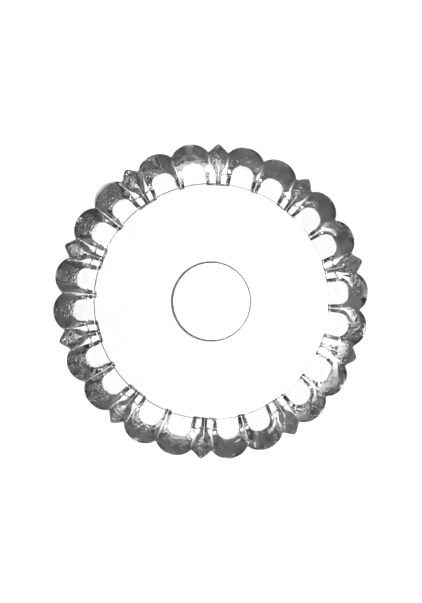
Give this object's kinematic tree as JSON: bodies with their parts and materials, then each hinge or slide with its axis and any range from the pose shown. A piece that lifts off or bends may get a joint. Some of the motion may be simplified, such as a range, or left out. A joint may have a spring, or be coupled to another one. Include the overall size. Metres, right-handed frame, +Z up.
{
  "type": "candle drip ring",
  "caption": "Round clear pressed-glass bobeche: a shallow plate with a plain centre hole and an upturned rim of round lobes and small pointed beads.",
  "frame": {"origin": "centre of the hole, on the plane the foot stands on", "axes": "+Z up through the centre hole, out of the open side of the well; +X through one small pointed bead of the rim"},
  "size_m": [0.101, 0.1014, 0.0098],
  "materials": {
    "clear_glass": "clear, fire-polished, slightly wavy"
  },
  "bodies": {
    "root": {"glass_ring": "clear_glass"}
  },
  "joints": []
}
